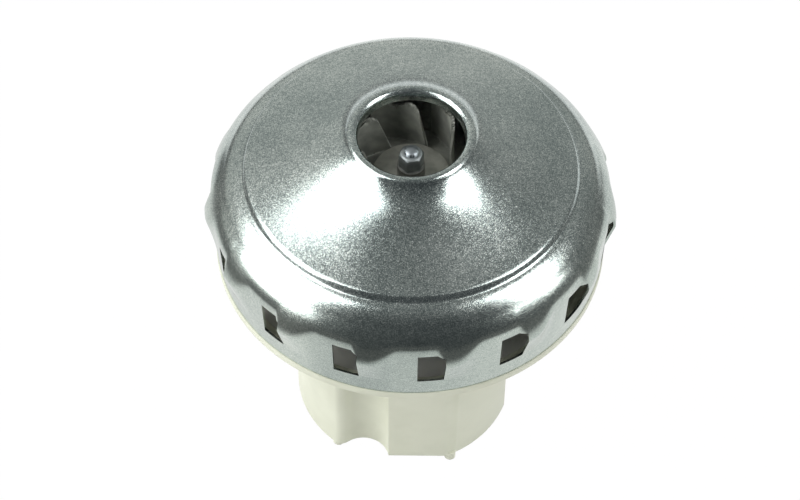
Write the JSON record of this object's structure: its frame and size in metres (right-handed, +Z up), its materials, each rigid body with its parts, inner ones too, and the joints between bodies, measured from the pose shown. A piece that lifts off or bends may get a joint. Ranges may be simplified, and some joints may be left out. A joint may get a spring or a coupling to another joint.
{
  "type": "vacuum motor unit",
  "caption": "By-pass fan motor for a wet and dry vacuum cleaner: pressed steel fan cover with an inlet eye and louvred outlet windows on a moulded motor housing, with rotor and brushes.",
  "frame": {"origin": "centre of the base plane, on the shaft's axis, where the closed rear bearing end stands", "axes": "+Z up along the shaft towards the inlet eye, -Y towards the camera, +X to the picture's right"},
  "size_m": [0.1494, 0.1489, 0.1508],
  "materials": {
    "galvanised_steel": "semi-matt zinc coat",
    "cream_plastic": "moulded, satin",
    "grey_plastic": "moulded, satin",
    "dark_plastic": "moulded, satin",
    "aluminium_sheet": "plain sheet",
    "zinc_steel": "bright zinc",
    "black_steel": "blacked",
    "bearing_steel": "ground",
    "lamination_steel": "bare laminations",
    "copper_wire": "varnished wire",
    "commutator_copper": "turned",
    "insulation": "pressed board",
    "carbon": "pressed carbon",
    "brass_strip": "plain strip",
    "spring_steel": "drawn wire",
    "bearing_rubber": "moulded"
  },
  "bodies": {
    "motor": {"air_guide": "grey_plastic", "bearing_circlip": "black_steel", "brush_cap_left": "brass_strip", "brush_cap_right": "brass_strip", "brush_holder_left": "grey_plastic", "brush_holder_right": "grey_plastic", "brush_spring_left": "spring_steel", "brush_spring_right": "spring_steel", "brush_tube_left": "brass_strip", "brush_tube_right": "brass_strip", "coil_liners": "insulation", "fan_cover": "galvanised_steel", "field_coil_back": "copper_wire", "field_coil_front": "copper_wire", "front_bearing_outer": "bearing_steel", "guide_screws": "zinc_steel", "holder_screws": "zinc_steel", "motor_housing": "cream_plastic", "rear_bearing_outer": "bearing_steel", "rear_bearing_ring": "bearing_rubber", "stator_core": "lamination_steel", "stator_screws": "zinc_steel", "terminal_block": "grey_plastic", "terminal_left": "brass_strip", "terminal_right": "brass_strip"},
    "rotor": {"shaft": "bearing_steel", "spacer_bush": "aluminium_sheet", "front_bearing_inner": "bearing_steel", "rear_bearing_inner": "bearing_steel", "impeller_back_plate": "aluminium_sheet", "impeller_blades": "aluminium_sheet", "impeller_shroud": "aluminium_sheet", "inducer": "dark_plastic", "clamp_washer": "zinc_steel", "lock_collar": "black_steel", "impeller_nut": "zinc_steel", "cooling_fan": "grey_plastic", "armature_core": "lamination_steel", "armature_end_plates": "insulation", "armature_winding": "copper_wire", "commutator_hub": "dark_plastic", "commutator_segments": "commutator_copper"},
    "carbon_left": {"brush_left": "carbon"},
    "carbon_right": {"brush_right": "carbon"}
  },
  "joints": [
    {"name": "rotor_spin", "type": "hinge", "parent": "motor", "child": "rotor", "pos_m": [0, 0, 0.07], "axis": [0, 0, 1], "continuous": true},
    {"name": "brush_left_slide", "type": "slide", "parent": "motor", "child": "carbon_left", "axis": [-1, 0, 0], "range_m": [0, 0.005], "stiffness_N_per_m": 100, "springref_m": -0.02, "deforming": ["brush_spring_left"]},
    {"name": "brush_right_slide", "type": "slide", "parent": "motor", "child": "carbon_right", "axis": [1, 0, 0], "range_m": [0, 0.005], "stiffness_N_per_m": 100, "springref_m": -0.02, "deforming": ["brush_spring_right"]}
  ]
}
